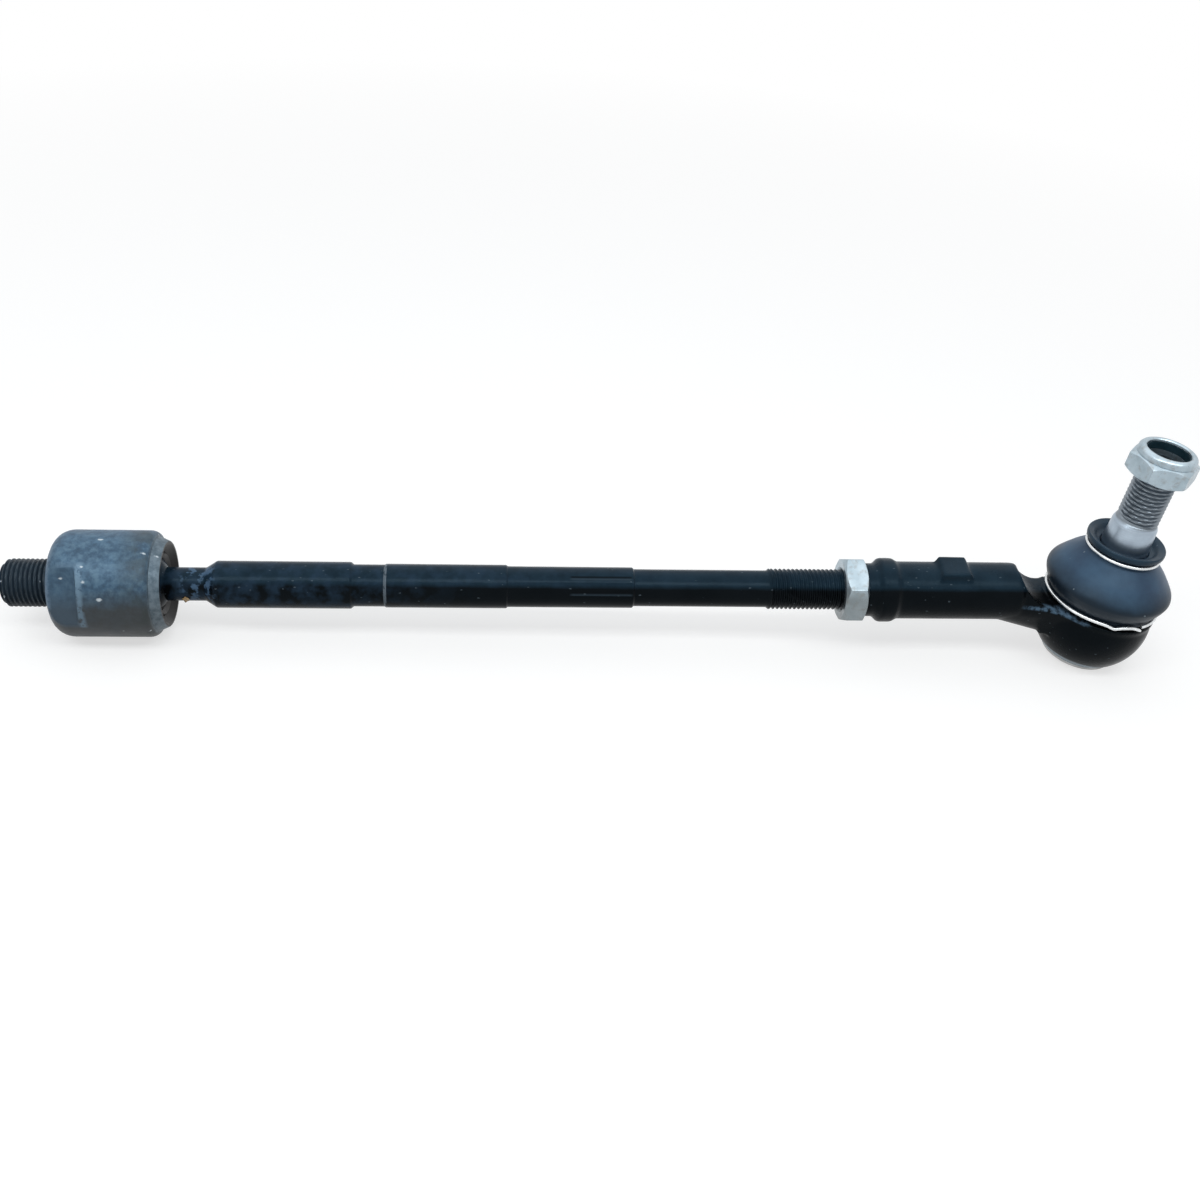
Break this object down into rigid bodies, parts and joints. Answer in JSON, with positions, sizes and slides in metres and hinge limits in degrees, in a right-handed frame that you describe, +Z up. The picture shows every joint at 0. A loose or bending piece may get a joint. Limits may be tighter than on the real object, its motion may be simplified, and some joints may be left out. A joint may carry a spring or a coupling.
{
  "type": "tie rod assembly",
  "caption": "Steering tie rod with an inner ball joint on a threaded rack stud, an adjustable rod with jam nut, and an outer ball joint with dust boot and lock nut.",
  "frame": {"origin": "centre of the inner housing's shoulder face, where it seats on the steering rack", "axes": "+X along the rod towards the outer end, +Z up, the ball stud pointing up"},
  "size_m": [0.3968, 0.0436, 0.0853],
  "materials": {
    "phosphated_steel": "matt grey phosphate",
    "black_paint": "glossy black dip paint",
    "zinc_plate": "bright blue-white zinc",
    "ground_steel": "fine ground",
    "cover_steel": "dull zinc",
    "ring_steel": "bright wire",
    "spring_steel": "dark spring steel",
    "boot_rubber": "satin blue-black rubber",
    "seat_plastic": "natural acetal",
    "insert_nylon": "dark blue-green nylon"
  },
  "bodies": {
    "inner_joint": {"inner_housing": "phosphated_steel"},
    "preload_disc": {"preload_disc": "spring_steel"},
    "rear_seat": {"rear_seat": "seat_plastic"},
    "front_seat": {"front_seat": "seat_plastic"},
    "tie_rod": {"tie_rod": "black_paint"},
    "outer_end": {"outer_housing": "black_paint", "seat_spring": "spring_steel", "end_cover": "cover_steel", "boot_lower_ring": "ring_steel", "dust_boot": "boot_rubber"},
    "jam_nut": {"jam_nut": "zinc_plate"},
    "ball_seat": {"ball_seat": "seat_plastic"},
    "boot_upper_ring": {"boot_upper_ring": "ring_steel"},
    "ball_stud": {"ball_stud": "ground_steel"},
    "nut_insert": {"nut_insert": "insert_nylon"},
    "lock_nut": {"lock_nut": "zinc_plate"}
  },
  "joints": [
    {"name": "inner_twist", "type": "hinge", "parent": "inner_joint", "child": "preload_disc", "pos_m": [0.0245, 0, 0], "axis": [1, 0, 0], "continuous": true},
    {"name": "inner_swing_up", "type": "hinge", "parent": "preload_disc", "child": "rear_seat", "pos_m": [0.0245, 0, 0], "axis": [0, -1, 0], "range_deg": [-18, 18]},
    {"name": "inner_swing_side", "type": "hinge", "parent": "rear_seat", "child": "front_seat", "pos_m": [0.0245, 0, 0], "axis": [0, 0, 1], "range_deg": [-18, 18]},
    {"name": "rod_turn", "type": "hinge", "parent": "front_seat", "child": "tie_rod", "pos_m": [0.0245, 0, 0], "axis": [1, 0, 0], "range_deg": [-3601, 0]},
    {"name": "length_adjust", "type": "slide", "parent": "front_seat", "child": "outer_end", "axis": [1, 0, 0], "range_m": [0, 0.015]},
    {"name": "jam_nut_turn", "type": "hinge", "parent": "outer_end", "child": "jam_nut", "pos_m": [0.2685, 0, 0], "axis": [1, 0, 0], "range_deg": [-60, 0]},
    {"name": "outer_swing_along", "type": "hinge", "parent": "outer_end", "child": "ball_seat", "pos_m": [0.3566, 0, -0.0094], "axis": [0, 1, 0], "range_deg": [-15, 15], "deforming": ["dust_boot"]},
    {"name": "outer_swing_across", "type": "hinge", "parent": "ball_seat", "child": "boot_upper_ring", "pos_m": [0.3566, 0, -0.0094], "axis": [0.9932, 0, -0.1167], "range_deg": [-15, 15]},
    {"name": "stud_turn", "type": "hinge", "parent": "boot_upper_ring", "child": "ball_stud", "pos_m": [0.3566, 0, -0.0094], "axis": [0.1167, 0, 0.9932], "continuous": true},
    {"name": "lock_nut_travel", "type": "slide", "parent": "ball_stud", "child": "nut_insert", "axis": [0.1167, 0, 0.9932], "range_m": [-0.0166, 0.0076]},
    {"name": "lock_nut_turn", "type": "hinge", "parent": "nut_insert", "child": "lock_nut", "pos_m": [0.3566, 0, -0.0094], "axis": [0.1167, 0, 0.9932], "range_deg": [-3960, 1800]}
  ],
  "couplings": [
    {"joint": "rod_turn", "follows": "length_adjust", "rad_per_m": -4188.8},
    {"joint": "lock_nut_travel", "follows": "lock_nut_turn", "m_per_rad": 0.00023873}
  ]
}
